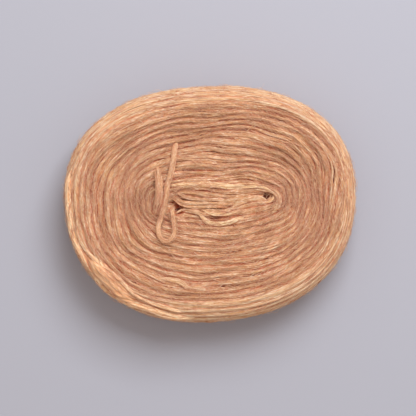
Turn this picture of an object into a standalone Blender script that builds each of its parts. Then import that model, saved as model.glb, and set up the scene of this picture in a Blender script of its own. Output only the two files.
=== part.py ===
"""A flat oval cake of unspun wool roving with two loose ends lying on its top.

Metres, +Z up. The cake lies flat on Z = 0 with its long axis along X, and the origin is at the
middle of its underside. One roving is wound round and round a core that has closed to a slit, so
the turns on top, over the shoulder and down the side are one spiral, with a ridge for each turn.
"""
import math
from collections import namedtuple

import bmesh
import bpy
from mathutils import Matrix, Vector
from mathutils.bvhtree import BVHTree

# The outline of the cake, seen from above
HALF_LENGTH = 0.0991
HALF_WIDTH = 0.0802
OUTLINE_POWER = 2.26
TILT = math.radians(3.4)
LOBE = 0.0133
LOBE_ANGLE = math.radians(24.4)
OUTLINE_CENTRE = Vector((0.0003, 0.0016))

# The slit that the core has closed to
CORE_CENTRE = Vector((0.0072, 0.0034))
CORE_HALF_LENGTH = 0.0330
CORE_HALF_WIDTH = 0.0014
CORE_POWER = 2.7
SLIT_DEPTH = 0.0035

# The section from the slit over the shoulder to the flat underside
THICKNESS = 0.0450
DISH = 0.0055
WAIST_HEIGHT = 0.0225
SHOULDER_REACH = 0.80
FOOT_REACH = 0.83
SECTION_POWER = 2.35

# The turns of roving: each is one ridge, a valley row and a crest row of points
TOP_TURNS = 14
SHOULDER_TURNS = 6
LOWER_TURNS = 6
ROWS_A_TURN = 2
POINTS_A_TURN = 80
RIDGE = 0.0016
START_ANGLE = math.pi

# The inner turns sag to one side of the straight slit
Sag = namedtuple("Sag", "at depth width fade_above fade_below")
SAGS = (
    Sag(at=0.003, depth=-0.0046, width=0.0150, fade_above=0.11, fade_below=0.24),
    Sag(at=0.031, depth=0.0018, width=0.0070, fade_above=0.08, fade_below=0.10),
)

# Small openings between the innermost turns, which part round them
Pit = namedtuple("Pit", "x y push width depth")
PITS = (
    Pit(x=-0.0212, y=-0.0029, push=0.0021, width=0.0080, depth=0.0050),
    Pit(x=0.0380, y=0.0060, push=0.0009, width=0.0040, depth=0.0030),
)

# How unevenly the turns lie: waves round each turn, in reach and in height
Wave = namedtuple("Wave", "round_turn each_turn shift sideways up")
WAVES = (
    Wave(round_turn=2, each_turn=0.45, shift=0.4, sideways=0.0012, up=0.0006),
    Wave(round_turn=3, each_turn=0.80, shift=1.9, sideways=0.0008, up=0.0005),
    Wave(round_turn=5, each_turn=1.10, shift=4.1, sideways=0.0004, up=0.0003),
    Wave(round_turn=8, each_turn=0.70, shift=2.6, sideways=0.0004, up=0.0002),
)

# Deeper grooves, each along part of a turn, where the roving was laid less tightly
Groove = namedtuple("Groove", "turn angle spread depth")
GROOVES = (
    Groove(turn=14.0, angle=math.radians(50), spread=math.radians(38), depth=0.0018),
    Groove(turn=10.0, angle=math.radians(80), spread=math.radians(30), depth=0.0014),
    Groove(turn=11.5, angle=math.radians(262), spread=math.radians(26), depth=0.0012),
    Groove(turn=8.0, angle=math.radians(232), spread=math.radians(30), depth=0.0014),
    Groove(turn=6.0, angle=math.radians(20), spread=math.radians(32), depth=0.0012),
    Groove(turn=12.5, angle=math.radians(155), spread=math.radians(24), depth=0.0010),
)

# Where two of the outer turns part and cross the ones under them, on the shoulder
SPLAY_ANGLE = math.radians(216)
SPLAY_SPREAD = math.radians(15)
SPLAY_TURN = 16.0
SPLAY_TURNS = 0.5
SPLAY_DEPTH = 0.0010

# The loose ends: diameters, clearance, and where they pass, seen from above
CLEARANCE = 0.0003
POINT_SPACING = 1.6
STRETCH_SAMPLES = 5
LOOP_DIAMETER = 0.0034
LOOP_ROUTE = (
    (-0.0227, 0.0440), (-0.0230, 0.0399), (-0.0238, 0.0344), (-0.0244, 0.0296),
    (-0.0256, 0.0241), (-0.0267, 0.0192), (-0.0283, 0.0137), (-0.0291, 0.0082),
    (-0.0297, 0.0027), (-0.0309, -0.0027), (-0.0324, -0.0076), (-0.0339, -0.0117),
    (-0.0347, -0.0158), (-0.0342, -0.0199), (-0.0322, -0.0234), (-0.0292, -0.0247),
    (-0.0261, -0.0232), (-0.0241, -0.0199), (-0.0235, -0.0158), (-0.0243, -0.0110),
    (-0.0252, -0.0069), (-0.0254, -0.0034), (-0.0246, -0.0007),
)
TAIL_DIAMETER = 0.0042
TAIL_ROUTE = (
    (-0.0355, 0.0258), (-0.0350, 0.0222), (-0.0345, 0.0186), (-0.0341, 0.0150),
    (-0.0339, 0.0114), (-0.0339, 0.0078), (-0.0344, 0.0042), (-0.0350, 0.0006),
    (-0.0356, -0.0030), (-0.0362, -0.0066),
)


def mix(first, last, share):
    return first + (last - first) * share


def wool(name, colour, roughness):
    """A soft matt material in one colour of the heathered wool."""
    material = bpy.data.materials.new(name)
    material.use_nodes = True
    shader = material.node_tree.nodes["Principled BSDF"]
    shader.inputs["Base Color"].default_value = (*colour, 1.0)
    shader.inputs["Roughness"].default_value = roughness
    shader.inputs["Metallic"].default_value = 0.0
    return material


def oval(angle, reach):
    """Where a turn passes, seen from above: the slit at reach 0, the outline at reach 1."""
    power = mix(CORE_POWER, OUTLINE_POWER, reach)
    across, up = math.cos(angle), math.sin(angle)
    size = (abs(across) ** power + abs(up) ** power) ** (-1 / power)
    size *= 1 + reach * LOBE * math.cos(3 * (angle - LOBE_ANGLE))
    place = Vector((
        mix(CORE_HALF_LENGTH, HALF_LENGTH, reach) * size * across,
        mix(CORE_HALF_WIDTH, HALF_WIDTH, reach) * size * up,
    ))
    place.rotate(Matrix.Rotation(TILT, 2))
    place += mix(CORE_CENTRE, OUTLINE_CENTRE, reach)
    for sag in SAGS:
        fade = mix(sag.fade_below, sag.fade_above, (1 + up) / 2)
        near = math.exp(-(((place.x - sag.at) / sag.width) ** 2) - (reach / fade) ** 2)
        place.y += sag.depth * near
    for pit in PITS:
        away = place - Vector((pit.x, pit.y))
        near = math.exp(-((away.length / pit.width) ** 2))
        place += away.normalized() * pit.push * near
    return place


def section(turn):
    """How far out and how high the surface is, turns counted from the slit to the foot."""
    rounding = 2 / SECTION_POWER
    if turn < TOP_TURNS:
        share = max(turn, 0.0) / TOP_TURNS
        return SHOULDER_REACH * share, THICKNESS - DISH * (1 - share * share)
    if turn < TOP_TURNS + SHOULDER_TURNS:
        bend = math.pi / 2 * (turn - TOP_TURNS) / SHOULDER_TURNS
        reach = mix(SHOULDER_REACH, 1.0, math.sin(bend) ** rounding)
        return reach, mix(WAIST_HEIGHT, THICKNESS, math.cos(bend) ** rounding)
    bend = math.pi / 2 * (turn - TOP_TURNS - SHOULDER_TURNS) / LOWER_TURNS
    if bend < math.pi / 2:
        reach = mix(FOOT_REACH, 1.0, math.cos(bend) ** rounding)
        return reach, WAIST_HEIGHT * (1 - math.sin(bend) ** rounding)
    turns_under = turn - TOP_TURNS - SHOULDER_TURNS - LOWER_TURNS
    return FOOT_REACH - turns_under * SHOULDER_REACH / TOP_TURNS, 0.0


def angle_between(first, second):
    return (first - second + math.pi) % (2 * math.pi) - math.pi


def splay(angle, turn):
    """How open the outer turns lie at this place, from 0 to 1."""
    aside = angle_between(angle, SPLAY_ANGLE) / SPLAY_SPREAD
    return math.exp(-(aside**2) - ((turn - SPLAY_TURN) / 2) ** 2)


def smooth_surface(angle, turn):
    """A point of the cake without its ridges and waves."""
    reach, height = section(turn)
    place = oval(angle, reach)
    return Vector((place.x, place.y, height))


def outward(angle, turn):
    """The surface's normal, from steps along the turn and across it."""
    step = 0.02
    along = smooth_surface(angle + step, turn) - smooth_surface(angle - step, turn)
    across = smooth_surface(angle, turn + step) - smooth_surface(angle, turn - step)
    return across.cross(along).normalized()


def relief(angle, turn, crest):
    """How far a ridge's crest stands out, or its valley lies in."""
    height = RIDGE * (0.5 if crest else -0.5)
    for groove in GROOVES:
        aside = angle_between(angle, groove.angle) / groove.spread
        height -= groove.depth * math.exp(-(aside**2) - ((turn - groove.turn) / 0.5) ** 2)
    return height - SPLAY_DEPTH * splay(angle, turn)


def surface(angle, turn, crest):
    """A point of a ridge's crest or valley, as uneven as wound wool is."""
    foot = TOP_TURNS + SHOULDER_TURNS + LOWER_TURNS
    ease = max(0.0, min(1.0, turn / 1.5, (foot - turn) / 2))
    aside = 1 if turn > SPLAY_TURN else -1
    pushed = turn + aside * SPLAY_TURNS * splay(angle, turn)
    place = smooth_surface(angle, pushed)
    place += outward(angle, pushed) * relief(angle, turn, crest) * ease
    centre = mix(CORE_CENTRE, OUTLINE_CENTRE, section(turn)[0])
    sideways = Vector((*(place.xy - centre).normalized(), 0.0))
    loose = ease * max(0.0, min(1.0, TOP_TURNS + 1 - turn))
    for wave in WAVES:
        phase = wave.round_turn * angle + wave.each_turn * turn + wave.shift
        place += sideways * wave.sideways * loose * math.sin(phase)
        place.z += wave.up * loose * math.cos(phase)
    sunk = max(0.0, 1 - turn)
    place.z -= SLIT_DEPTH * sunk
    for pit in PITS:
        gap = (place.xy - Vector((pit.x, pit.y))).length
        place.z -= pit.depth * sunk * math.exp(-((gap / pit.width) ** 2))
    return place


def wound_cake():
    """One closed solid: a spiral ribbon of rows from the slit to the underside, with both ends filled."""
    rows = ROWS_A_TURN * (TOP_TURNS + SHOULDER_TURNS + LOWER_TURNS) + 1
    bm = bmesh.new()
    grid = []
    for i in range(POINTS_A_TURN):
        share = i / POINTS_A_TURN
        angle = START_ANGLE + 2 * math.pi * share
        grid.append([
            bm.verts.new(surface(angle, row / ROWS_A_TURN + share, row % ROWS_A_TURN))
            for row in range(rows + 1)
        ])
    last = POINTS_A_TURN - 1
    for i in range(POINTS_A_TURN):
        # Past the last column the ribbon meets its own next turn
        later, skip = (grid[i + 1], 0) if i < last else (grid[0], ROWS_A_TURN)
        for row in range(rows - skip):
            bm.faces.new((grid[i][row], grid[i][row + 1], later[row + 1 + skip], later[row + skip]))
    inner = [column[0] for column in grid] + [grid[0][row] for row in range(ROWS_A_TURN, 0, -1)]
    outer = [column[rows] for column in grid]
    outer += [grid[last][rows - row] for row in range(1, ROWS_A_TURN + 1)]
    ends = [bm.faces.new(inner), bm.faces.new(outer)]
    bmesh.ops.triangulate(bm, faces=ends)
    bmesh.ops.recalc_face_normals(bm, faces=bm.faces)
    mesh = bpy.data.meshes.new("wound_cake")
    bm.to_mesh(mesh)
    bm.free()
    mesh.shade_smooth()
    mesh.materials.append(wool("wound_wool", (0.60, 0.29, 0.16), 0.9))
    cake = bpy.data.objects.new("wound_cake", mesh)
    bpy.context.scene.collection.objects.link(cake)
    return cake


def top_under(tree, x, y, radius):
    """The highest point of the cake under a round of that radius."""
    heights = []
    for ring in (0.0, 0.5 * radius, radius):
        for k in range(8):
            turn = 2 * math.pi * k / 8
            start = Vector((x + ring * math.cos(turn), y + ring * math.sin(turn), 2 * THICKNESS))
            heights.append(tree.ray_cast(start, Vector((0, 0, -1)))[0].z)
    return max(heights)


def smooth_line(points, spacing):
    """Points about that far apart on a smooth curve through the route's own points."""
    line = []
    for i in range(len(points) - 1):
        before = points[max(i - 1, 0)]
        here, there = points[i], points[i + 1]
        after = points[min(i + 2, len(points) - 1)]
        steps = max(1, round((there - here).length / spacing))
        for k in range(steps):
            t = k / steps
            pull = (there - before) * (t - 2 * t**2 + t**3) + (after - here) * (t**3 - t**2)
            line.append(here * (1 - 3 * t**2 + 2 * t**3) + there * (3 * t**2 - 2 * t**3) + pull / 2)
    line.append(points[-1])
    return line


def lying_line(line, radius, tree):
    """The line again, high enough for a tube along it to clear every ridge that it crosses."""
    heights = []
    for here, there in zip(line, line[1:]):
        stretch = [here.lerp(there, k / STRETCH_SAMPLES) for k in range(STRETCH_SAMPLES + 1)]
        heights.append(max(top_under(tree, p.x, p.y, radius) for p in stretch))
    lift = CLEARANCE + radius
    around = zip(line, [heights[0], *heights], [*heights, heights[-1]])
    return [Vector((p.x, p.y, max(before, after) + lift)) for p, before, after in around]


def loose_end(name, route, diameter, tree, material):
    """A soft tube that lies along its route on the cake's ridges."""
    radius = diameter / 2
    seen = smooth_line([Vector((x, y, 0)) for x, y in route], POINT_SPACING * diameter)
    line = lying_line(seen, radius, tree)
    curve = bpy.data.curves.new(name, "CURVE")
    curve.dimensions = "3D"
    curve.bevel_depth = radius
    curve.bevel_resolution = 2
    curve.use_fill_caps = True
    spline = curve.splines.new("POLY")
    spline.points.add(len(line) - 1)
    for target, point in zip(spline.points, line):
        target.co = (*point, 1.0)
    spline.use_smooth = True
    curve.materials.append(material)
    tube = bpy.data.objects.new(name, curve)
    bpy.context.scene.collection.objects.link(tube)
    return tube


def main():
    for obj in list(bpy.data.objects):
        bpy.data.objects.remove(obj)
    cake = wound_cake()
    bpy.context.view_layer.update()
    tree = BVHTree.FromObject(cake, bpy.context.evaluated_depsgraph_get())
    loose = wool("loose_wool", (0.72, 0.38, 0.21), 0.9)
    loose_end("loose_loop", LOOP_ROUTE, LOOP_DIAMETER, tree, loose)
    loose_end("loose_tail", TAIL_ROUTE, TAIL_DIAMETER, tree, loose)


main()
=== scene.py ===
"""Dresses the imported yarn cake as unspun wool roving, wound flat and oval, lying on a pale table.

Metres, +Z up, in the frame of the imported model: the cake lies on Z = 0 with its long axis along X.
"""
import math
import random
from collections import namedtuple

import bmesh
import bpy
from mathutils import Matrix, Vector, noise
from mathutils.bvhtree import BVHTree


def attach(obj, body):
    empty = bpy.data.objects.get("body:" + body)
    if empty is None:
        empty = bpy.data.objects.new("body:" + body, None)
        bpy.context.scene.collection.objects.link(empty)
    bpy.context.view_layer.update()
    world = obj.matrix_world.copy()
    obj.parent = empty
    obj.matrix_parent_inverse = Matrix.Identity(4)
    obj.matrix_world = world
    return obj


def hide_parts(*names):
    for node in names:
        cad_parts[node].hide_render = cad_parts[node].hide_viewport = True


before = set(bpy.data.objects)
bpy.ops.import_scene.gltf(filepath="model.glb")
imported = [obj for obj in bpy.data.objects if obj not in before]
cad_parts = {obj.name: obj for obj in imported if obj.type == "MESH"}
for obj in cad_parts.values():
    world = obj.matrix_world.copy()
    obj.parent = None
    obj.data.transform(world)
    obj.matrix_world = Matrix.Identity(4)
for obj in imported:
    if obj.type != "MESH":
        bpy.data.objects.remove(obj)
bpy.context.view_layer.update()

# The view is from straight above, with the cake's long axis across the picture.
# The camera stands high over the cake, so its rim hardly leans outwards. The view's width is
# measured at the height of the rim's waist.
VIEW_CENTRE = (-0.0010, -0.0021)
VIEW_HEIGHT = 1.20
VIEW_WIDTH = 0.2859
VIEW_LEVEL = 0.0225

camera_data = bpy.data.cameras.new("camera")
camera_data.angle = 2 * math.atan(VIEW_WIDTH / 2 / (VIEW_HEIGHT - VIEW_LEVEL))
camera = bpy.data.objects.new("camera", camera_data)
camera.location = (*VIEW_CENTRE, VIEW_HEIGHT)
bpy.context.scene.collection.objects.link(camera)
bpy.context.scene.camera = camera
bpy.context.scene.view_settings.view_transform = "Standard"


# The loose loop is a free length of the roving. It comes out from under the top turns, lies down
# across the left of the slit, turns back in a round bend and goes into the slit's left opening.
# Unspun roving has no twist to hold it round, so it lies flat, as soft strands side by side.
LOOP_DIAMETER = 0.0034
LOOP_STRANDS = 9
LOOP_STRAYS = 90
# It thins a little on its way into the bend
LOOP_THINS_FROM = 0.058
LOOP_THINS_OVER = 0.014
LOOP_THIN_SHARE = 0.76
LOOP_ROUTE = (
    (-0.0227, 0.0440), (-0.0230, 0.0399), (-0.0238, 0.0344), (-0.0244, 0.0296),
    (-0.0256, 0.0241), (-0.0267, 0.0192), (-0.0283, 0.0137), (-0.0291, 0.0082),
    (-0.0297, 0.0027), (-0.0309, -0.0027), (-0.0324, -0.0076), (-0.0339, -0.0117),
    (-0.0347, -0.0158), (-0.0342, -0.0199), (-0.0322, -0.0234), (-0.0292, -0.0247),
    (-0.0261, -0.0232), (-0.0241, -0.0199), (-0.0235, -0.0158), (-0.0243, -0.0110),
    (-0.0252, -0.0069), (-0.0254, -0.0034), (-0.0246, -0.0007),
)
LOOP_START_DIP = 0.0040
LOOP_END_DIP = 0.0060
START_DIP_LENGTH = 0.0090
END_DIP_LENGTH = 0.0055
CORD_POINT_SPACING = 0.0016
# How far a cord may sink at a point each time that its line is evened out
EVENED_SINK = 0.0002
# Well above the cake, where the rays start that look down for its surface
ABOVE_CAKE = 0.06

# Level is how far above the middle of the wool's ridges a dot lies, and sets its painted crease
# shade; by default it is well out of the creases
Dot = namedtuple("Dot", "place radius level", defaults=[0.01])
# A loose strand's own sides take the painted crease shade, and its top doesn't
ROVING_LEVEL = -0.0005


def colour(code):
    """A colour given as sRGB hex, in the linear values that Blender works in."""
    values = [int(code[i:i + 2], 16) / 255 for i in (1, 3, 5)]
    return (*[v / 12.92 if v <= 0.04045 else ((v + 0.055) / 1.055) ** 2.4 for v in values], 1.0)


def add_node(tree, kind, inputs=None, **settings):
    """Adds one node with its settings, and with a value or a link for each named input."""
    made = tree.nodes.new(kind)
    for name, value in settings.items():
        setattr(made, name, value)
    for name, value in (inputs or {}).items():
        if isinstance(value, bpy.types.NodeSocket):
            tree.links.new(value, made.inputs[name])
        else:
            made.inputs[name].default_value = value
    return made


def wool_roving(name, dark, middle, light, crease_shade, drawn=1.0, matted=0.0, shine=0.3):
    """Unspun merino roving, combed and not twisted: matt, with fibres that all run along the strand.

    The eye reads it by its heathered colour, which is long thin streaks of apricot with a little
    mauve and yellow wool carded in, by its soft pale bloom, and by its warm creases, which are
    painted shade. The crease colour gives that painted shade its tint. Drawn says how much longer
    the streaks are where it is pulled tight, matted how dull handling has left it, and shine how
    clean and smooth its fibres lie.
    """
    material = bpy.data.materials.new(name)
    material.use_nodes = True
    tree = material.node_tree
    shader = tree.nodes["Principled BSDF"]
    lay = add_node(tree, "ShaderNodeAttribute", attribute_name="lay").outputs["Vector"]

    def streaks(length, width, detail):
        """Noise drawn out along the strand, for streaks of that length and width."""
        scale = (1 / length / drawn, 1 / width, 1 / width)
        stretched = vector_sum("MULTIPLY", {0: lay, 1: scale})
        pattern = add_node(
            tree, "ShaderNodeTexNoise",
            {"Vector": stretched, "Scale": 1.0, "Detail": detail, "Roughness": 0.6},
        )
        return pattern.outputs[0]

    def vector_sum(how, inputs):
        return add_node(tree, "ShaderNodeVectorMath", inputs, operation=how).outputs[0]

    def stretch(value, low, high, to_low, to_high):
        made = add_node(
            tree, "ShaderNodeMapRange",
            {"Value": value, "From Min": low, "From Max": high, "To Min": to_low, "To Max": to_high},
        )
        return made.outputs[0]

    def blend(share, first, second, how="MIX"):
        made = add_node(
            tree, "ShaderNodeMix", {0: share, 6: first, 7: second}, data_type="RGBA", blend_type=how,
        )
        return made.outputs[2]

    # A carded lock is 1 to 2 mm wide and 15 to 30 mm long, and a wisp in it 0.5 mm by 8 mm
    lock = streaks(0.022, 0.0013, 2.0)
    wisp = streaks(0.008, 0.0005, 3.0)
    tone = blend(stretch(lock, 0.36, 0.54, 0.0, 1.0), colour(dark), colour(middle))
    tone = blend(stretch(wisp, 0.48, 0.68, 0.0, 0.9), tone, colour(light))
    mauve = streaks(0.011, 0.0007, 2.0)
    tone = blend(stretch(mauve, 0.54, 0.68, 0.0, 0.5), tone, colour("#C09A92"))
    yellow = streaks(0.009, 0.0006, 1.0)
    tone = blend(stretch(yellow, 0.58, 0.70, 0.0, 0.6), tone, colour("#E4B068"))
    # Handling leaves short specks of darker and paler fibre ends all over
    speck = streaks(0.0020, 0.0005, 3.0)
    tone = blend(stretch(speck, 0.36, 0.50, 0.7, 0.0), tone, colour(dark))
    tone = blend(stretch(speck, 0.52, 0.66, 0.0, 0.7), tone, colour(light))
    # Matted places are duller. They follow the turns, and are about 5 mm wide and 30 mm long. Seen
    # from above, the cake's outline lies at a length of 1 in these oval coordinates
    place = add_node(tree, "ShaderNodeTexCoord").outputs["Object"]
    oval_place = vector_sum("MULTIPLY", {0: place, 1: (10.1, 12.5, 0.0)})
    way = vector_sum("NORMALIZE", {0: oval_place})
    out = add_node(tree, "ShaderNodeVectorMath", {0: oval_place}, operation="LENGTH").outputs["Value"]
    turns_out = add_node(tree, "ShaderNodeMath", {0: out, 1: 20.0}, operation="MULTIPLY").outputs[0]
    height = add_node(tree, "ShaderNodeCombineXYZ", {"Z": turns_out}).outputs[0]
    wound = vector_sum("MULTIPLY_ADD", {0: way, 1: (2.4, 2.4, 0.0), 2: height})
    patch = add_node(
        tree, "ShaderNodeTexNoise", {"Vector": wound, "Scale": 1.0, "Detail": 2.0, "Roughness": 0.6},
    )
    patchy = stretch(patch.outputs[0], 0.36, 0.64, 0.0, matted)
    tone = blend(patchy, tone, colour("#DCCCBD"), "MULTIPLY")
    # Painted shade: the crease colour makes creases warmer and darker, standing in for light that
    # reaches them through wool
    level = add_node(tree, "ShaderNodeAttribute", attribute_name="level").outputs["Fac"]
    tone = blend(stretch(level, -0.0012, 0.0000, 1.0, 0.0), tone, colour(crease_shade), "MULTIPLY")
    # Painted shade: where most of what stands around it within 3 mm is wool, it is coloured darker
    # and rust, standing in for light that has bounced off wool
    around = add_node(tree, "ShaderNodeAmbientOcclusion", {"Distance": 0.003}, samples=4)
    open_share = around.outputs["AO"]
    tone = blend(stretch(open_share, 0.00, 0.45, 1.0, 0.0), tone, colour("#FF7048"), "MULTIPLY")
    # Painted shade: hollows that lie 1 to 4 mm below the ridges are darker still
    tone = blend(stretch(level, -0.0042, -0.0009, 1.0, 0.0), tone, colour("#C87654"), "MULTIPLY")
    tree.links.new(tone, shader.inputs["Base Color"])

    # Fibres are 0.02 mm across, too fine to show, so they are drawn ten times as coarse
    fibre = streaks(0.005, 0.0002, 2.0)
    heights = add_node(tree, "ShaderNodeMath", {0: lock, 1: fibre}, operation="ADD")
    bump = add_node(
        tree, "ShaderNodeBump", {"Strength": 0.9, "Distance": 0.0003, "Height": heights.outputs[0]},
    )
    tree.links.new(bump.outputs[0], shader.inputs["Normal"])
    shader.inputs["Roughness"].default_value = 0.65
    shader.inputs["Specular IOR Level"].default_value = shine
    shader.inputs["Sheen Weight"].default_value = 0.25
    shader.inputs["Sheen Roughness"].default_value = 0.6
    shader.inputs["Sheen Tint"].default_value = colour("#FFE3CC")
    return material


def smooth_line(points, spacing):
    """Points about that far apart on a smooth curve through the route's own points."""
    line = []
    for i in range(len(points) - 1):
        before = points[max(i - 1, 0)]
        here, there = points[i], points[i + 1]
        after = points[min(i + 2, len(points) - 1)]
        steps = max(1, round((there - here).length / spacing))
        for k in range(steps):
            t = k / steps
            pull = (there - before) * (t - 2 * t**2 + t**3) + (after - here) * (t**3 - t**2)
            line.append(here * (1 - 3 * t**2 + 2 * t**3) + there * (3 * t**2 - 2 * t**3) + pull / 2)
    line.append(points[-1])
    return line


cake_tree = BVHTree.FromObject(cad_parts["wound_cake"], bpy.context.evaluated_depsgraph_get())


def cake_top(x, y):
    """The height of the cake's top there, and the way that it faces."""
    place, facing, _, _ = cake_tree.ray_cast(Vector((x, y, ABOVE_CAKE)), Vector((0, 0, -1)))
    return (place.z, facing) if place else (0.0, Vector((0, 0, 1)))


def resting_height(place, radius):
    """How high the middle of a soft round strand lies on the cake's ridges there."""
    around = [Vector((math.cos(k * math.pi / 4), math.sin(k * math.pi / 4))) for k in range(8)]
    ring = [place.xy] + [place.xy + way * size * radius for way in around for size in (0.6, 1.4)]
    return max(cake_top(*spot)[0] for spot in ring) + radius


def ease(value):
    """A soft step from 0 to 1."""
    value = max(0.0, min(1.0, value))
    return value * value * (3 - 2 * value)


def lengths_along(line):
    """How far along a line each of its points is."""
    total, lengths = 0.0, [0.0]
    for here, there in zip(line, line[1:]):
        total += (there - here).length
        lengths.append(total)
    return lengths


def evened(values):
    """Each value drawn half way towards the mean of its neighbours."""
    padded = [values[0], *values, values[-1]]
    return [(a + 2 * b + c) / 4 for a, b, c in zip(padded, padded[1:], padded[2:])]


def laid_line(route, radius, start_dip, end_dip):
    """The route as a line that lies on the cake, evened out, and sinks in at either end."""
    line = smooth_line([Vector((x, y, 0.0)) for x, y in route], CORD_POINT_SPACING)
    heights = [resting_height(place, radius) for place in line]
    for _ in range(4):
        heights = [max(even, height - EVENED_SINK) for even, height in zip(evened(heights), heights)]
    lengths = lengths_along(line)
    for place, height, length in zip(line, heights, lengths):
        place.z = height
        place.z -= start_dip * (1 - ease(length / START_DIP_LENGTH))
        place.z -= end_dip * (1 - ease((lengths[-1] - length) / END_DIP_LENGTH))
    return line


def tangents(line):
    """The way that a line runs at each of its points."""
    padded = [line[0], *line, line[-1]]
    return [(after - before).normalized() for before, after in zip(padded, padded[2:])]


def roving(line, diameter, count, seed, facings=None, spread=0.38):
    """The soft strands that lie side by side, and now and then cross, in a flat length of roving."""
    lengths = lengths_along(line)
    facings = facings or [Vector((0, 0, 1))] * len(line)
    # The more strands there are, the thinner each is, so that together they fill the roving
    thick = diameter * (0.12 + 0.24 / count)
    strands = []
    for k in range(count):
        home = (2 * k + 1) / count - 1
        strand = []
        for place, way, length, facing in zip(line, tangents(line), lengths, facings):
            side = way.cross(facing).normalized()
            up = side.cross(way)
            # It wanders, rises and swells over lengths of about 10 mm
            wander = noise.noise(Vector((length * 75, seed, k * 3.7)))
            rise = noise.noise(Vector((length * 90, k * 5.1, seed)))
            swell = 1 + 0.4 * noise.noise(Vector((length * 110, k * 2.3, seed + 9)))
            across = home + 0.5 * wander
            # The middle of the roving lies a little higher than its edges
            over = 0.16 * (1 - across * across) + 0.12 * rise
            spot = place + diameter * (side * spread * across + up * over)
            strand.append(Dot(spot, thick * swell, ROVING_LEVEL))
        strands.append(strand)
    return strands


def drawn_thin(strands, line, shares):
    """Strands drawn in to their line and thinner, each dot to its share of its own size."""
    return [
        [dot._replace(place=place.lerp(dot.place, share), radius=dot.radius * share)
         for dot, place, share in zip(strand, line, shares)]
        for strand in strands
    ]


STRAY_DOTS = 6
STRAY_RADIUS = 0.00005


def strays(line, diameter, count, seed):
    """Single fibres that lift off a loose length of roving and make its edges soft."""
    chance = random.Random(seed)
    ways = tangents(line)
    fibres = []
    for _ in range(count):
        start = chance.randrange(0, len(line) - STRAY_DOTS)
        place = math.copysign(chance.uniform(0.2, 0.5), chance.uniform(-1, 1))
        drift = chance.gauss(0, 0.16)
        off = chance.uniform(0.0, 0.16)
        fibre = []
        for k in range(STRAY_DOTS):
            share = k / (STRAY_DOTS - 1)
            way = ways[start + k]
            side = Vector((way.y, -way.x, 0.0)).normalized()
            across = place + drift * share + math.copysign(off, place) * math.sin(math.pi * share)
            up = 0.36 * math.sqrt(max(0.0, 1 - 3 * across * across)) + off * math.sin(math.pi * share)
            spot = line[start + k] + diameter * (side * across + Vector((0, 0, up)))
            fibre.append(Dot(spot, STRAY_RADIUS))
        fibres.append(fibre)
    return fibres


def strand_piece(name, strands, sides, material, facings=None):
    """Soft strands as one mesh, each a tube with closed ends along its dots.

    Each point keeps two values for the material: lay, how far along its strand and how far across
    it lies, and level, how far it stands above the middle of the wool's ridges.
    """
    curve = bpy.data.curves.new(name, "CURVE")
    curve.dimensions = "3D"
    curve.twist_mode = "Z_UP"
    curve.bevel_depth = 1.0
    curve.bevel_resolution = sides // 2 - 2
    for strand in strands:
        spline = curve.splines.new("POLY")
        spline.points.add(len(strand) - 1)
        spline.points.foreach_set("co", [v for dot in strand for v in (*dot.place, 1.0)])
        spline.points.foreach_set("radius", [dot.radius for dot in strand])
        spline.use_smooth = True
    tubes = bpy.data.objects.new(name, curve)
    mesh = bpy.data.meshes.new_from_object(tubes)
    bpy.data.objects.remove(tubes)
    bpy.data.curves.remove(curve)
    mesh.name = name
    dots_in_all = sum(len(strand) for strand in strands)
    ring = len(mesh.vertices) // dots_in_all
    lay, levels = [], []
    vertices = iter(mesh.vertices)
    for number, strand in enumerate(strands):
        line = [dot.place for dot in strand]
        for i, (dot, way, length) in enumerate(zip(strand, tangents(line), lengths_along(line))):
            facing = facings[number][i] if facings else Vector((0, 0, 1))
            side = way.cross(facing).normalized()
            up = side.cross(way)
            for _ in range(ring):
                away = next(vertices).co - dot.place
                # Each strand takes its streaks from another place, so that no two look alike
                lay += [length + 0.37 * number, away.dot(side) + 0.019 * number, away.dot(up)]
                levels.append(dot.level + away.dot(up))
    mesh.attributes.new("lay", "FLOAT_VECTOR", "POINT").data.foreach_set("vector", lay)
    mesh.attributes.new("level", "FLOAT", "POINT").data.foreach_set("value", levels)
    closed = bmesh.new()
    closed.from_mesh(mesh)
    bmesh.ops.holes_fill(closed, edges=closed.edges, sides=0)
    bmesh.ops.recalc_face_normals(closed, faces=closed.faces)
    closed.to_mesh(mesh)
    closed.free()
    mesh.shade_smooth()
    mesh.materials.clear()
    mesh.materials.append(material)
    piece = bpy.data.objects.new(name, mesh)
    bpy.context.scene.collection.objects.link(piece)
    return piece


def faced_piece(name, faced_strands, sides, material):
    """One mesh of strands that each come with the ways that they face."""
    strands, facings = zip(*faced_strands)
    return strand_piece(name, strands, sides, material, facings)


# Little rubs on the loose lengths, so they aren't matted
loose_wool = wool_roving("loose_wool_roving", "#C88A5A", "#E4B083", "#FADCB8", "#FFC8AC")
loop_line = laid_line(LOOP_ROUTE, LOOP_DIAMETER / 2, LOOP_START_DIP, LOOP_END_DIP)
thinning = [
    1 - (1 - LOOP_THIN_SHARE) * ease((length - LOOP_THINS_FROM) / LOOP_THINS_OVER)
    for length in lengths_along(loop_line)
]
loop_strands = roving(loop_line, LOOP_DIAMETER, LOOP_STRANDS, seed=3, spread=0.44)
loop_strands = drawn_thin(loop_strands, loop_line, thinning)
loop_strands += strays(loop_line, LOOP_DIAMETER, LOOP_STRAYS, seed=31)
loop = strand_piece("loose_loop_roving", loop_strands, 8, loose_wool)
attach(loop, "root")
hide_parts("loose_loop")


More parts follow.
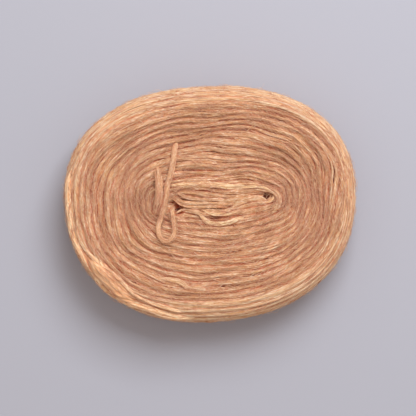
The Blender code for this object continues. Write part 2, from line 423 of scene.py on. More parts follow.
# The loose tail is the roving's own free end. It was torn and not cut, so it thins into wisps.
# It lies beside the loop, and its other end sinks between the turns under the loop's bend.
TAIL_DIAMETER = 0.0042
TAIL_STRANDS = 11
TAIL_STRAYS = 44
TAIL_ROUTE = (
    (-0.0362, -0.0066), (-0.0356, -0.0030), (-0.0350, 0.0006), (-0.0344, 0.0042),
    (-0.0339, 0.0078), (-0.0339, 0.0114), (-0.0341, 0.0150), (-0.0345, 0.0186),
    (-0.0350, 0.0222), (-0.0355, 0.0258),
)
TAIL_START_DIP = 0.0035
TORN_LENGTH = 0.010

tail_line = laid_line(TAIL_ROUTE, TAIL_DIAMETER / 2, TAIL_START_DIP, 0.0)
tail_strands = []
for k, strand in enumerate(roving(tail_line, TAIL_DIAMETER, TAIL_STRANDS, seed=8, spread=0.50)):
    # The middle strands reach the end, and the outer ones thin out and stop a little short of it
    outer = abs(2 * k + 1 - TAIL_STRANDS) > TAIL_STRANDS / 2
    kept = strand[:len(strand) - 1 - k % 3] if outer else strand
    tip = 0.25 if outer else 0.6
    lengths = lengths_along([dot.place for dot in kept])
    torn = []
    for dot, length in zip(kept, lengths):
        thin = ease((lengths[-1] - length) / TORN_LENGTH)
        torn.append(Dot(dot.place, dot.radius * (tip + (1 - tip) * thin), dot.level))
    tail_strands.append(torn)
tail_strands += strays(tail_line, TAIL_DIAMETER, TAIL_STRAYS, seed=81)
tail = strand_piece("loose_tail_roving", tail_strands, 8, loose_wool)
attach(tail, "root")
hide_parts("loose_tail")


# The turns on top are one roving wound from the slit outwards, a pencil of combed wool about 4 mm
# wide laid against the turn before it. Each turn shows about six thin soft strands, which wander,
# swell and sink beside each other, because nothing but the winding holds them.
HALF_LENGTH = 0.0991
HALF_WIDTH = 0.0802
OUTLINE_POWER = 2.26
TILT = math.radians(3.4)
LOBE = 0.0133
LOBE_ANGLE = math.radians(24.4)
OUTLINE_CENTRE = Vector((0.0003, 0.0016))
CORE_CENTRE = Vector((0.0072, 0.0034))
CORE_HALF_LENGTH = 0.0330
CORE_HALF_WIDTH = 0.0014
CORE_POWER = 2.7
SLIT_DEPTH = 0.0035
THICKNESS = 0.0450
DISH = 0.0055
WAIST_HEIGHT = 0.0225
SHOULDER_REACH = 0.80
FOOT_REACH = 0.83
SECTION_POWER = 2.35
TOP_TURNS = 14
SHOULDER_TURNS = 6
LOWER_TURNS = 6
FOOT_TURN = TOP_TURNS + SHOULDER_TURNS + LOWER_TURNS
RIDGE = 0.0016

Sag = namedtuple("Sag", "at depth width fade_above fade_below")
SAGS = (
    Sag(at=0.003, depth=-0.0046, width=0.0150, fade_above=0.11, fade_below=0.24),
    Sag(at=0.031, depth=0.0018, width=0.0070, fade_above=0.08, fade_below=0.10),
)
Pit = namedtuple("Pit", "x y push width depth mouth hollow")
PITS = (
    Pit(x=-0.0212, y=-0.0026, push=0.0021, width=0.0080, depth=0.0040, mouth=0.0040, hollow=0.0090),
    Pit(x=0.0380, y=0.0060, push=0.0009, width=0.0040, depth=0.0020, mouth=0.0009, hollow=0.0036),
    Pit(x=0.0036, y=-0.0096, push=0.0, width=0.0040, depth=0.0, mouth=0.0050, hollow=0.0018),
)
Wave = namedtuple("Wave", "round_turn each_turn shift sideways up")
WAVES = (
    Wave(round_turn=2, each_turn=0.45, shift=0.4, sideways=0.0012, up=0.0006),
    Wave(round_turn=3, each_turn=0.80, shift=1.9, sideways=0.0008, up=0.0005),
    Wave(round_turn=5, each_turn=1.10, shift=4.1, sideways=0.0004, up=0.0003),
    Wave(round_turn=8, each_turn=0.70, shift=2.6, sideways=0.0004, up=0.0002),
)
Groove = namedtuple("Groove", "turn angle spread depth")
GROOVES = (
    Groove(turn=14.0, angle=math.radians(50), spread=math.radians(38), depth=0.0018),
    Groove(turn=10.0, angle=math.radians(80), spread=math.radians(30), depth=0.0014),
    Groove(turn=11.5, angle=math.radians(262), spread=math.radians(20), depth=0.0004),
    Groove(turn=8.0, angle=math.radians(232), spread=math.radians(30), depth=0.0014),
    Groove(turn=6.0, angle=math.radians(20), spread=math.radians(32), depth=0.0012),
    Groove(turn=12.5, angle=math.radians(155), spread=math.radians(24), depth=0.0010),
)
SPLAY_ANGLE = math.radians(216)
SPLAY_SPREAD = math.radians(15)
SPLAY_TURN = 16.0
SPLAY_TURNS = 0.5
SPLAY_DEPTH = 0.0006


def mix(first, last, share):
    return first + (last - first) * share


def oval(angle, reach):
    """Where a turn passes, seen from above: the slit at reach 0, the outline at reach 1."""
    power = mix(CORE_POWER, OUTLINE_POWER, reach)
    across, up = math.cos(angle), math.sin(angle)
    size = (abs(across) ** power + abs(up) ** power) ** (-1 / power)
    size *= 1 + reach * LOBE * math.cos(3 * (angle - LOBE_ANGLE))
    place = Vector((
        mix(CORE_HALF_LENGTH, HALF_LENGTH, reach) * size * across,
        mix(CORE_HALF_WIDTH, HALF_WIDTH, reach) * size * up,
    ))
    place.rotate(Matrix.Rotation(TILT, 2))
    place += mix(CORE_CENTRE, OUTLINE_CENTRE, reach)
    for sag in SAGS:
        fade = mix(sag.fade_below, sag.fade_above, (1 + up) / 2)
        near = math.exp(-(((place.x - sag.at) / sag.width) ** 2) - (reach / fade) ** 2)
        place.y += sag.depth * near
    for pit in PITS:
        away = place - Vector((pit.x, pit.y))
        near = math.exp(-((away.length / pit.width) ** 2))
        place += away.normalized() * pit.push * near
    return place


def section(turn):
    """How far out and how high the surface is, turns counted from the slit and round the foot."""
    rounding = 2 / SECTION_POWER
    if turn < TOP_TURNS:
        share = max(turn, 0.0) / TOP_TURNS
        return SHOULDER_REACH * share, THICKNESS - DISH * (1 - share * share)
    if turn < TOP_TURNS + SHOULDER_TURNS:
        bend = math.pi / 2 * (turn - TOP_TURNS) / SHOULDER_TURNS
        reach = mix(SHOULDER_REACH, 1.0, math.sin(bend) ** rounding)
        return reach, mix(WAIST_HEIGHT, THICKNESS, math.cos(bend) ** rounding)
    bend = math.pi / 2 * (turn - TOP_TURNS - SHOULDER_TURNS) / LOWER_TURNS
    if bend < math.pi / 2:
        reach = mix(FOOT_REACH, 1.0, math.cos(bend) ** rounding)
        return reach, WAIST_HEIGHT * (1 - math.sin(bend) ** rounding)
    return FOOT_REACH - (turn - FOOT_TURN) * SHOULDER_REACH / TOP_TURNS, 0.0


def angle_between(first, second):
    return (first - second + math.pi) % (2 * math.pi) - math.pi


def splay(angle, turn):
    """How open the outer turns lie at this place, from 0 to 1."""
    aside = angle_between(angle, SPLAY_ANGLE) / SPLAY_SPREAD
    return math.exp(-(aside**2) - ((turn - SPLAY_TURN) / 2) ** 2)


def smooth_surface(angle, turn):
    """A point of the cake without its ridges and waves."""
    reach, height = section(turn)
    place = oval(angle, reach)
    return Vector((place.x, place.y, height))


def outward(angle, turn):
    """The surface's normal, from steps along the turn and across it."""
    step = 0.02
    along = smooth_surface(angle + step, turn) - smooth_surface(angle - step, turn)
    across = smooth_surface(angle, turn + step) - smooth_surface(angle, turn - step)
    return across.cross(along).normalized()


def hollow_at(place):
    """How deep the roving dives into the slit's openings at that place."""
    depths = [
        pit.hollow * math.exp(-(((place.xy - Vector((pit.x, pit.y))).length / pit.mouth) ** 2))
        for pit in PITS
    ]
    return max(depths)


def wound_place(angle, turn, height):
    """A point that far above the middle of the cake's ridges, and the way that it faces."""
    settled = max(0.0, min(1.0, turn / 1.5, (FOOT_TURN - turn) / 2))
    aside = 1 if turn > SPLAY_TURN else -1
    open_here = splay(angle, turn)
    pushed = turn + aside * SPLAY_TURNS * open_here
    for groove in GROOVES:
        away = angle_between(angle, groove.angle) / groove.spread
        height -= groove.depth * math.exp(-(away**2) - ((turn - groove.turn) / 0.5) ** 2)
    height -= SPLAY_DEPTH * open_here
    facing = outward(angle, pushed)
    place = smooth_surface(angle, pushed) + facing * height
    centre = mix(CORE_CENTRE, OUTLINE_CENTRE, section(turn)[0])
    sideways = Vector((*(place.xy - centre).normalized(), 0.0))
    loose = settled * max(0.0, min(1.0, TOP_TURNS + 1 - turn))
    for wave in WAVES:
        phase = wave.round_turn * angle + wave.each_turn * turn + wave.shift
        place += sideways * wave.sideways * loose * math.sin(phase)
        place.z += wave.up * loose * math.cos(phase)
    sunk = max(0.0, 1 - turn)
    place.z -= SLIT_DEPTH * sunk
    for pit in PITS:
        gap = (place.xy - Vector((pit.x, pit.y))).length
        place.z -= pit.depth * sunk * math.exp(-((gap / pit.width) ** 2))
    place.z -= hollow_at(place)
    return place, facing


# How each strand lies: its radius as a share of a turn's width, how far it wanders alone and
# together with its neighbours, in turns, how far it rises and sinks alone and together with its
# turn, how much it swells and thins, and how high the middle of each turn stands over its grooves,
# as a share of the ridges in the solid
Lay = namedtuple("Lay", "width wander ripple rise together swell ridge")
TOP_LAY = Lay(width=0.16, wander=0.17, ripple=0.22, rise=0.0008, together=0.0017, swell=0.4, ridge=0.85)
# The outermost turns were wound last and pulled tighter, so they lie flatter and straighter
SIDE_LAY = Lay(width=0.12, wander=0.07, ripple=0.0, rise=0.0004, together=0.0004, swell=0.3, ridge=0.7)
LAY_CHANGES_FROM = 12.5
LAY_CHANGES_TO = 15.5
STRAND_OFFSETS = (0.09, 0.25, 0.42, 0.58, 0.75, 0.91)
START_ANGLE = math.pi
LARGEST_STEP = 2 * math.pi / 44
# A strand thins out past the turn where another piece takes it over
RUN_ON = 0.02

# Where handling has matted the wool, so that its strands stand out less
Calm = namedtuple("Calm", "x y size share")
CALM_PLACES = (
    Calm(x=-0.066, y=0.040, size=0.026, share=0.40),
    Calm(x=0.068, y=-0.040, size=0.026, share=0.20),
    Calm(x=-0.078, y=0.010, size=0.016, share=0.20),
)


def calm(place):
    """How matted the wool is at that place, from 0 to 1."""
    shares = [
        spot.share * math.exp(-((place.x - spot.x) ** 2 + (place.y - spot.y) ** 2) / spot.size**2)
        for spot in CALM_PLACES
    ]
    return max(shares)


def uneven(place, size, seed):
    """A smooth chance value from about -1 to 1, that changes over that size, from place to place."""
    return noise.noise(Vector((place.x / size, place.y / size, seed)))


def wound_strand(first_turn, last_turn, offset, seed, spacing):
    """One soft strand of the spiral, from turn to turn, and the way that it faces at each dot.

    Offset says where in its turn the strand lies, in turns.
    """
    dots, facings = [], []
    turn = first_turn - RUN_ON
    while True:
        angle = START_ANGLE + 2 * math.pi * turn
        share = ease((turn - LAY_CHANGES_FROM) / (LAY_CHANGES_TO - LAY_CHANGES_FROM))
        lay = Lay(*[mix(top, side, share) for top, side in zip(TOP_LAY, SIDE_LAY)])
        here, _ = wound_place(angle, turn + offset, 0.0)
        slow = uneven(here, 0.034, seed * 7.3 + turn * 1.7)
        quick = uneven(here, 0.011, seed * 3.1 + turn * 2.3 + 50)
        rise = uneven(here, 0.013, seed * 5.7 + turn * 1.9 + 90)
        together = uneven(here, 0.030, turn * 1.3 + 20)
        swell = uneven(here, 0.014, seed * 4.9 + turn * 2.1 + 130)
        ripple = uneven(here, 0.017, 170)
        placed = turn + offset + lay.wander * (slow + 0.7 * quick) + lay.ripple * ripple
        middle = max(placed, 0.5)
        outer_edge, _ = wound_place(angle, middle + 0.5, 0.0)
        inner_edge, _ = wound_place(angle, middle - 0.5, 0.0)
        lively = 1 - calm(here)
        radius = (outer_edge - inner_edge).length * lay.width * (1 + lay.swell * swell)
        whole = ease(1 + (turn - first_turn) / RUN_ON) * ease(1 - (turn - last_turn) / RUN_ON)
        radius *= 0.2 + 0.8 * whole
        height = -RIDGE / 2 * math.cos(2 * math.pi * offset) * lay.ridge - radius
        height += (lay.rise * rise + lay.together * together) * lively
        place, facing = wound_place(angle, placed, height)
        place.z = max(place.z, radius)
        dots.append(Dot(place, radius, height + radius / 2 - hollow_at(place)))
        facings.append(facing)
        ahead, _ = wound_place(angle + 0.01, placed, height)
        pace = (ahead - place).length / 0.01
        if turn >= last_turn + RUN_ON:
            return dots, facings
        turn += min(LARGEST_STEP, spacing / pace) / (2 * math.pi)


def wound_turns(name, first_turn, last_turn, spacing, material):
    """Some turns of the spiral as one piece, with all the strands of each turn."""
    laid = [
        wound_strand(first_turn, last_turn, offset, seed, spacing)
        for seed, offset in enumerate(STRAND_OFFSETS)
    ]
    return faced_piece(name, laid, 6, material)


TOP_SPACING = 0.0024
FIRST_TURN = -0.20

# Handling has matted the turns on top in places
wound_wool = wool_roving("wound_wool_roving", "#D28B55", "#E6AE7F", "#FAE8C9", "#FFD2BC", matted=1.0)
top_turns = wound_turns("top_turns", FIRST_TURN, TOP_TURNS, TOP_SPACING, wound_wool)
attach(top_turns, "root")
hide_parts("wound_cake")


# The wool inside the cake shows only as darkness between the turns and in the slit's openings.
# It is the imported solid's own shape, drawn in a little all round, in the same wool in shade.
DRAWN_IN = 0.0016

shaded_wool = wool_roving("shaded_wool_roving", "#6A2A14", "#7A341C", "#8A4026", "#FFFFFF")
inside = bmesh.new()
inside.from_mesh(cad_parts["wound_cake"].data)
bmesh.ops.remove_doubles(inside, verts=inside.verts, dist=1e-6)
bmesh.ops.recalc_face_normals(inside, faces=inside.faces)
inside.normal_update()
for vertex, inward in [(v, v.normal * -DRAWN_IN) for v in inside.verts]:
    vertex.co += inward
    vertex.co.z = max(vertex.co.z - 1.5 * hollow_at(vertex.co), DRAWN_IN)
inside_mesh = bpy.data.meshes.new("wool_inside")
inside.to_mesh(inside_mesh)
inside.free()
inside_mesh.shade_smooth()
inside_mesh.materials.append(shaded_wool)
wool_inside = bpy.data.objects.new("wool_inside", inside_mesh)
bpy.context.scene.collection.objects.link(wool_inside)
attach(wool_inside, "root")


# The outermost turns hold the cake together. The same roving goes on over the shoulder and down
# the side, and shows as a smooth paler band of fine straight strands all round the rim.
SIDE_SPACING = 0.0034

# Pulled tight round the rim, its fibres lie straight, so it is paler and shines a little more
band_wool = wool_roving(
    "band_wool_roving", "#D2965F", "#E6B78A", "#FBE7C4", "#FFD2BC", drawn=3.0, shine=0.5,
)
bands = []
for name, first, last in (
    ("shoulder_turns", TOP_TURNS, TOP_TURNS + SHOULDER_TURNS),
    ("lower_turns", TOP_TURNS + SHOULDER_TURNS, FOOT_TURN),
):
    band = wound_turns(name, first, last, SIDE_SPACING, band_wool)
    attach(band, "root")
    bands.append(band)


# The cake stands on its last turns, which its own weight has pressed flat, so the underside is plain
# even turns from the foot in to the middle.
UNDER_TURNS = 14

under_turns = wound_turns(
    "under_turns", FOOT_TURN, FOOT_TURN + UNDER_TURNS, SIDE_SPACING, wound_wool,
)
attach(under_turns, "root")


# Some lengths of the roving lie over the turns, where it came off the winder's guide unevenly. They
# close the slit from above in a fan, and stand up below it. One kinks near the front, and at the
# rim's lower left two late turns part and cross the ones under them.
Over = namedtuple("Over", "name wool diameter strands lift dips route")
OVER_STRANDS = (
    Over("upper_lip", "late", 0.0044, 6, 0.0004, (0.0006, 0.0020), (
        (-0.0300, 0.0130), (-0.0220, 0.0134), (-0.0150, 0.0136), (-0.0065, 0.0140),
        (0.0038, 0.0132), (0.0141, 0.0126), (0.0244, 0.0130), (0.0333, 0.0122),
        (0.0402, 0.0106), (0.0450, 0.0079), (0.0470, 0.0041), (0.0457, -0.0007),
        (0.0416, -0.0048), (0.0347, -0.0082),
    )),
    Over("under_lip", "wound", 0.0032, 4, 0.0002, (0.0020, 0.0016), (
        (-0.0080, 0.0106), (0.0024, 0.0098), (0.0120, 0.0088), (0.0210, 0.0088),
        (0.0271, 0.0096), (0.0330, 0.0098), (0.0374, 0.0090), (0.0410, 0.0070), (0.0424, 0.0040),
    )),
    Over("middle_strand", "wound", 0.0030, 3, -0.0002, (0.0020, 0.0008), (
        (-0.0203, 0.0107), (-0.0120, 0.0086), (-0.0038, 0.0077), (0.0030, 0.0066),
        (0.0090, 0.0058), (0.0148, 0.0055), (0.0220, 0.0063), (0.0280, 0.0075),
        (0.0335, 0.0082), (0.0372, 0.0078),
    )),
    Over("fan_strand", "wound", 0.0032, 3, 0.0002, (0.0004, 0.0008), (
        (-0.0290, 0.0112), (-0.0262, 0.0106), (-0.0223, 0.0088), (-0.0182, 0.0062), (-0.0130, 0.0046),
        (-0.0065, 0.0038), (0.0024, 0.0037), (0.0113, 0.0031), (0.0175, 0.0034),
        (0.0230, 0.0044), (0.0290, 0.0059), (0.0335, 0.0065), (0.0366, 0.0064),
    )),
    Over("fan_below", "wound", 0.0030, 4, 0.0000, (0.0004, 0.0026), (
        (-0.0292, 0.0078), (-0.0256, 0.0067), (-0.0222, 0.0044), (-0.0178, 0.0018), (-0.0100, 0.0011),
        (-0.0014, 0.0012),
        (0.0058, 0.0008), (0.0125, 0.0008), (0.0175, 0.0014), (0.0225, 0.0026),
        (0.0270, 0.0038),
    )),
    Over("fan_lowest", "wound", 0.0024, 3, -0.0002, (0.0006, 0.0026), (
        (-0.0290, 0.0046), (-0.0252, 0.0042), (-0.0222, 0.0020), (-0.0195, 0.0002), (-0.0155, -0.0010),
        (-0.0100, -0.0014), (-0.0026, -0.0012), (0.0058, -0.0014),
        (0.0120, -0.0012), (0.0170, -0.0004), (0.0215, 0.0008),
    )),
    Over("fan_end", "wound", 0.0030, 4, -0.0003, (0.0010, 0.0020), (
        (-0.0085, -0.0028), (-0.0040, -0.0032), (0.0010, -0.0038), (0.0060, -0.0042),
        (0.0110, -0.0042), (0.0160, -0.0032), (0.0205, -0.0014), (0.0240, 0.0006),
    )),
    Over("lower_lip", "wound", 0.0046, 6, 0.0001, (0.0026, 0.0030), (
        (0.0080, -0.0036), (0.0130, -0.0024), (0.0180, 0.0002), (0.0230, 0.0022),
        (0.0278, 0.0038), (0.0326, 0.0046), (0.0366, 0.0034), (0.0395, 0.0012),
        (0.0412, -0.0020),
    )),
    Over("raised_turn", "late", 0.0036, 4, 0.0010, (0.0020, 0.0034), (
        (-0.0127, -0.0024), (-0.0093, -0.0045), (-0.0065, -0.0065), (-0.0041, -0.0089),
        (-0.0014, -0.0113), (0.0027, -0.0127), (0.0069, -0.0127), (0.0117, -0.0120),
        (0.0175, -0.0103), (0.0244, -0.0079), (0.0290, -0.0062),
    )),
    Over("raised_turn_above", "late", 0.0030, 3, 0.0007, (0.0024, 0.0030), (
        (-0.0090, -0.0026), (-0.0041, -0.0034), (-0.0003, -0.0055), (0.0034, -0.0065),
        (0.0079, -0.0065), (0.0130, -0.0062), (0.0196, -0.0041), (0.0279, -0.0017),
    )),
    Over("right_opening_outer", "late", 0.0020, 3, 0.0012, (0.0004, 0.0008), (
        (0.0440, 0.0074), (0.0432, 0.0048), (0.0412, 0.0027), (0.0385, 0.0012),
    )),
    Over("right_opening_inner", "late", 0.0014, 2, 0.0014, (0.0004, 0.0008), (
        (0.0420, 0.0076), (0.0414, 0.0052), (0.0393, 0.0034),
    )),
    Over("opening_lip", "wound", 0.0022, 2, 0.0002, (0.0020, 0.0016), (
        (-0.0238, -0.0060), (-0.0215, -0.0046), (-0.0185, -0.0033), (-0.0155, -0.0026),
        (-0.0110, -0.0030),
    )),
    Over("below_opening", "wound", 0.0024, 2, 0.0001, (0.0020, 0.0020), (
        (-0.0230, -0.0098), (-0.0199, -0.0075), (-0.0162, -0.0064), (-0.0113, -0.0068),
        (-0.0070, -0.0094),
    )),
    Over("kinked_strand", "band", 0.0034, 4, 0.0003, (0.0020, 0.0020), (
        (-0.0409, -0.0488), (-0.0306, -0.0502), (-0.0216, -0.0515), (-0.0175, -0.0536),
        (-0.0148, -0.0560), (-0.0079, -0.0564), (-0.0003, -0.0577), (0.0060, -0.0584),
    )),
    Over("outer_crossing", "crossing", 0.0054, 7, 0.0010, (0.0024, 0.0030), (
        (-0.0924, 0.0275), (-0.0943, 0.0172), (-0.0950, 0.0069), (-0.0946, -0.0034),
        (-0.0935, -0.0117), (-0.0921, -0.0190), (-0.0893, -0.0265), (-0.0855, -0.0340),
        (-0.0812, -0.0412), (-0.0770, -0.0469), (-0.0727, -0.0529), (-0.0677, -0.0584),
        (-0.0625, -0.0615), (-0.0556, -0.0646), (-0.0491, -0.0670), (-0.0409, -0.0701),
        (-0.0306, -0.0735), (-0.0203, -0.0754), (-0.0065, -0.0768),
    )),
    Over("inner_crossing", "crossing", 0.0028, 4, 0.0005, (0.0020, 0.0026), (
        (-0.0905, -0.0060), (-0.0897, -0.0130), (-0.0885, -0.0200), (-0.0859, -0.0261),
        (-0.0818, -0.0323), (-0.0770, -0.0371), (-0.0722, -0.0409), (-0.0667, -0.0450),
        (-0.0612, -0.0498), (-0.0564, -0.0546), (-0.0509, -0.0595), (-0.0454, -0.0633),
        (-0.0392, -0.0660), (-0.0306, -0.0687), (-0.0216, -0.0715), (-0.0100, -0.0735),
    )),
    # Between the two late turns the wool under them shows. It is drawn paler, partly as its own
    # colour and partly as painted light, because it lies on the shoulder turned away from the window
    Over("between_crossings", "deep", 0.0104, 11, 0.0006, (0.0010, 0.0010), (
        (-0.0846, -0.0306), (-0.0809, -0.0363), (-0.0761, -0.0414), (-0.0706, -0.0472),
        (-0.0644, -0.0539), (-0.0582, -0.0598), (-0.0513, -0.0646), (-0.0446, -0.0678),
    )),
)
OVER_DIP_LENGTH = 0.0150
OVER_TAPER = 0.0160
BETWEEN_TAPER = 0.0300
OVER_TIP = 0.4
SPAN_SAG = 0.0008


def surface_tree(pieces):
    """All the faces of some pieces, to lay things on."""
    points, faces = [], []
    for piece in pieces:
        start = len(points)
        points += [vertex.co for vertex in piece.data.vertices]
        faces += [[start + index for index in face.vertices] for face in piece.data.polygons]
    return BVHTree.FromPolygons(points, faces)


def over_line(over, tree):
    """The line of a length that lies over the turns, sunk at either end, and the way it faces."""
    line = smooth_line([Vector((x, y, 0.0)) for x, y in over.route], CORD_POINT_SPACING)
    heights, facings = [], []
    for place, way in zip(line, tangents(line)):
        aside = Vector((way.y, -way.x, 0.0)) * over.diameter * 0.3
        starts = [place + aside * k + Vector((0, 0, ABOVE_CAKE)) for k in (-1, 0, 1)]
        hits = [tree.ray_cast(start, Vector((0, 0, -1)))[0] for start in starts]
        mean = sum(hit.z for hit in hits) / 3
        # Over the slit it spans the gap instead of sinking in
        slit_near = (place.xy - CORE_CENTRE).length < CORE_HALF_LENGTH
        heights.append(max(mean, THICKNESS - DISH - SPAN_SAG) if slit_near else mean)
        # Laid loosely, it keeps flatter than the surface under it
        facings.append((cake_top(*place.xy)[1] + Vector((0, 0, 1))).normalized())
    for _ in range(6):
        heights = evened(heights)
        facings = [facing.normalized() for facing in evened(facings)]
    lengths = lengths_along(line)
    for place, height, facing, length in zip(line, heights, facings, lengths):
        place.z = height
        place += facing * over.lift
        place -= facing * over.dips[0] * (1 - ease(length / OVER_DIP_LENGTH))
        place -= facing * over.dips[1] * (1 - ease((lengths[-1] - length) / OVER_DIP_LENGTH))
    return line, facings


under_tree = surface_tree([wool_inside, top_turns, *bands])
# Late lengths have hardly been handled, so they are paler than the turns under them
late_wool = wool_roving("late_wool_roving", "#DCA26A", "#F0C592", "#FFEAC6", "#FFD2BC", drawn=1.3)
# The crossing turns and the wool between them are paler still, partly their own colour and partly
# painted light, because they lie on the lower left of the shoulder, turned away from the window
crossing_wool = wool_roving(
    "crossing_wool_roving", "#EBA974", "#FFCB9A", "#FFEFC8", "#FFD2BC", drawn=1.5,
)
deep_wool = wool_roving("deep_wool_roving", "#DC9A64", "#F4B684", "#FFD2A8", "#FFD2BC", drawn=1.5)
over_pieces = []
for name, kind, wool in (
    ("pale_strands_over", "late", late_wool),
    ("crossing_strands", "crossing", crossing_wool),
    ("plain_strands_over", "wound", wound_wool),
    ("rim_strands_over", "band", band_wool),
    ("strands_between", "deep", deep_wool),
):
    over_strands, over_facings = [], []
    for seed, over in enumerate([over for over in OVER_STRANDS if over.wool == kind]):
        line, facings = over_line(over, under_tree)
        lengths = lengths_along(line)
        taper = min(BETWEEN_TAPER if kind == "deep" else OVER_TAPER, lengths[-1] / 3)
        sizes = [mix(OVER_TIP, 1, ease(min(length, lengths[-1] - length) / taper)) for length in lengths]
        strands = roving(line, over.diameter, over.strands, seed * 2.7, facings)
        over_strands += drawn_thin(strands, line, sizes)
        over_facings += [facings] * over.strands
    piece = strand_piece(name, over_strands, 8, wool, over_facings)
    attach(piece, "root")
    over_pieces.append(piece)


# Wisps are short locks that have parted from their strand and lie along it or a little across it.
# Carded wool is full of them, and they break up the lines of the turns into short soft streaks.
WISP_DOTS = 7
Wisps = namedtuple("Wisps", "name count first_turn last_turn slant radius seed")
WISPS = (
    Wisps("wisps_on_top", 3000, 1.5, 14.5, 0.15, 0.00028, 21),
    Wisps("wisps_on_band", 700, 14.0, 22.0, 0.03, 0.00024, 22),
)

WISP_LENGTHS = (0.007, 0.020)
# How far above the turns the rays start that find them under a wisp or a fibre
LOWERED_FROM = 0.006

turn_pieces = [top_turns, *bands, *over_pieces]


def chance_place(chance, first_turn, last_turn):
    """A chance place on the turns, the way that it faces and the way that its strand runs."""
    while True:
        turn = chance.uniform(first_turn, last_turn)
        # The outer turns are longer, so more lies on them
        if chance.random() < 0.25 + 0.75 * min(1.0, turn / TOP_TURNS):
            break
    angle = chance.uniform(0, 2 * math.pi)
    place, facing = wound_place(angle, turn, 0.0)
    along = (wound_place(angle + 0.02, turn, 0.0)[0] - place).normalized()
    return place, facing, along


def wisp(chance, tree, kind):
    """One wisp, thin at both ends, half sunk in the strands under it."""
    place, facing, along = chance_place(chance, kind.first_turn, kind.last_turn)
    slant = chance.gauss(0, kind.slant)
    way = along * math.cos(slant) + facing.cross(along) * math.sin(slant)
    side = facing.cross(way)
    length = chance.uniform(*WISP_LENGTHS)
    bend = chance.gauss(0, 0.0016)
    thick = kind.radius * chance.uniform(0.6, 1.3)
    out = chance.uniform(-0.0001, 0.0004)
    heights, spots = [], []
    for k in range(WISP_DOTS):
        share = k / (WISP_DOTS - 1)
        # It curls by part of a wave, which starts at a chance point
        curl = bend * math.sin(2.6 * share + 2.0 * bend * 1000)
        spot = place + way * length * (share - 0.5) + side * curl
        hit = tree.ray_cast(spot + facing * LOWERED_FROM, -facing)[0] or spot
        spots.append(spot)
        heights.append((hit - spot).dot(facing))
    dots = []
    for k, spot in enumerate(spots):
        around = heights[max(k - 1, 0):k + 2]
        swell = math.sin(math.pi * (0.04 + 0.92 * k / (WISP_DOTS - 1)))
        # Its ends tuck in by 0.3 mm
        level = sum(around) / len(around) + out * swell - 0.0003 * (1 - swell)
        spot += facing * (level - 0.3 * thick)
        spot.z = max(spot.z, thick)
        dots.append(Dot(spot, thick * (0.25 + 0.75 * swell)))
    return dots, [facing] * WISP_DOTS


turns_tree = surface_tree(turn_pieces)
wisp_pieces = []
for kind in WISPS:
    chance = random.Random(kind.seed)
    made = [wisp(chance, turns_tree, kind) for _ in range(kind.count)]
    piece = faced_piece(kind.name, made, 4, wound_wool)
    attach(piece, "root")
    wisp_pieces.append(piece)


# Loose fibres stand off the roving all over, because nothing is twisted in. Each is one wool fibre
# 20 to 60 mm long, of which the eye catches a short pale arc; they are drawn thicker than the real
# 0.02 mm, so that they show as the soft bloom that wool has.
FIBRE_RADIUS = 0.00008
FIBRE_LENGTHS = (0.004, 0.012)
FIBRE_DOTS = 5
# How far most fibres stand off the wool, and how far the few longest do
STAND_OFF = (0.0002, 0.0011)
FAR_STAND_OFF = (0.001, 0.0026)
NEAR_SHARE = 0.85
Bloom = namedtuple("Bloom", "name count first_turn last_turn seed")
BLOOMS = (
    Bloom("fibres_on_top", 4200, 0.2, 14.5, 5),
    Bloom("fibres_on_side", 3200, 14.0, 25.0, 6),
)

fibre_wool = wool_roving("loose_fibre_wool", "#CE9A72", "#E2B48E", "#F6D6B6", "#FFFFFF")
shown_tree = surface_tree([*turn_pieces, *wisp_pieces, loop, tail])


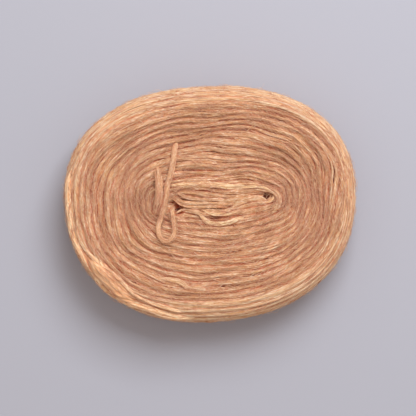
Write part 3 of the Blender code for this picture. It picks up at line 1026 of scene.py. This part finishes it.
def loose_fibre(chance, first_turn, last_turn):
    """One fibre that starts in the wool, lies roughly along its strand, and stands off it a little."""
    start, facing, along = chance_place(chance, first_turn, last_turn)
    slant = chance.gauss(0, 0.35)
    way = (along * math.cos(slant) + facing.cross(along) * math.sin(slant)) * chance.choice((-1, 1))
    bend = chance.gauss(0, 0.5)
    length = chance.uniform(*FIBRE_LENGTHS)
    stand_off = chance.uniform(*(STAND_OFF if chance.random() < NEAR_SHARE else FAR_STAND_OFF))
    fibre = []
    for k in range(FIBRE_DOTS):
        share = k / (FIBRE_DOTS - 1)
        side = facing.cross(way)
        spot = start + way * length * share + side * bend * length * share * share
        hit = shown_tree.ray_cast(spot + facing * LOWERED_FROM, -facing)[0] or spot
        # It starts low in the wool, rises, and ends a little off it
        lift = stand_off * math.sin(math.pi * (0.08 + 0.72 * share)) - 0.0001 * (1 - share)
        spot = hit + facing * lift
        spot.z = max(spot.z, 2 * FIBRE_RADIUS)
        fibre.append(Dot(spot, FIBRE_RADIUS * (1.1 - 0.6 * share)))
    return fibre, [facing] * FIBRE_DOTS


for bloom in BLOOMS:
    chance = random.Random(bloom.seed)
    made = [loose_fibre(chance, bloom.first_turn, bloom.last_turn) for _ in range(bloom.count)]
    fibres = faced_piece(bloom.name, made, 4, fibre_wool)
    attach(fibres, "root")


# The table is a plain pale board under soft daylight from a window beyond the picture's upper
# edge, a little to the right, so the cake's shadow falls below it and a little to the left. The
# room's own light is a little warmer than the window's.
FLOOR_HALF = 1.5

floor_mesh = bmesh.new()
bmesh.ops.create_grid(floor_mesh, x_segments=1, y_segments=1, size=FLOOR_HALF)
floor_data = bpy.data.meshes.new("floor")
floor_mesh.to_mesh(floor_data)
floor_mesh.free()
floor_material = bpy.data.materials.new("pale_matt_board")
floor_material.use_nodes = True
floor_shader = floor_material.node_tree.nodes["Principled BSDF"]
floor_shader.inputs["Base Color"].default_value = colour("#AEACB4")
floor_shader.inputs["Roughness"].default_value = 0.9
floor_data.materials.append(floor_material)
floor = bpy.data.objects.new("floor", floor_data)
bpy.context.scene.collection.objects.link(floor)


def soft_light(name, tint, size, power, azimuth, elevation, distance):
    """A square soft light that faces the cake from that direction."""
    data = bpy.data.lights.new(name, "AREA")
    data.color = colour(tint)[:3]
    data.size = size
    data.energy = power
    light = bpy.data.objects.new(name, data)
    flat = distance * math.cos(math.radians(elevation))
    light.location = (
        flat * math.cos(math.radians(azimuth)),
        flat * math.sin(math.radians(azimuth)),
        distance * math.sin(math.radians(elevation)),
    )
    light.rotation_euler = Vector(light.location).to_track_quat("Z", "Y").to_euler()
    bpy.context.scene.collection.objects.link(light)


soft_light("window", "#F2F9FF", size=0.8, power=18.9, azimuth=67, elevation=54, distance=1.4)
world = bpy.data.worlds.new("room")
world.use_nodes = True
world.node_tree.nodes["Background"].inputs["Color"].default_value = colour("#FFF7F2")
world.node_tree.nodes["Background"].inputs["Strength"].default_value = 0.61
bpy.context.scene.world = world
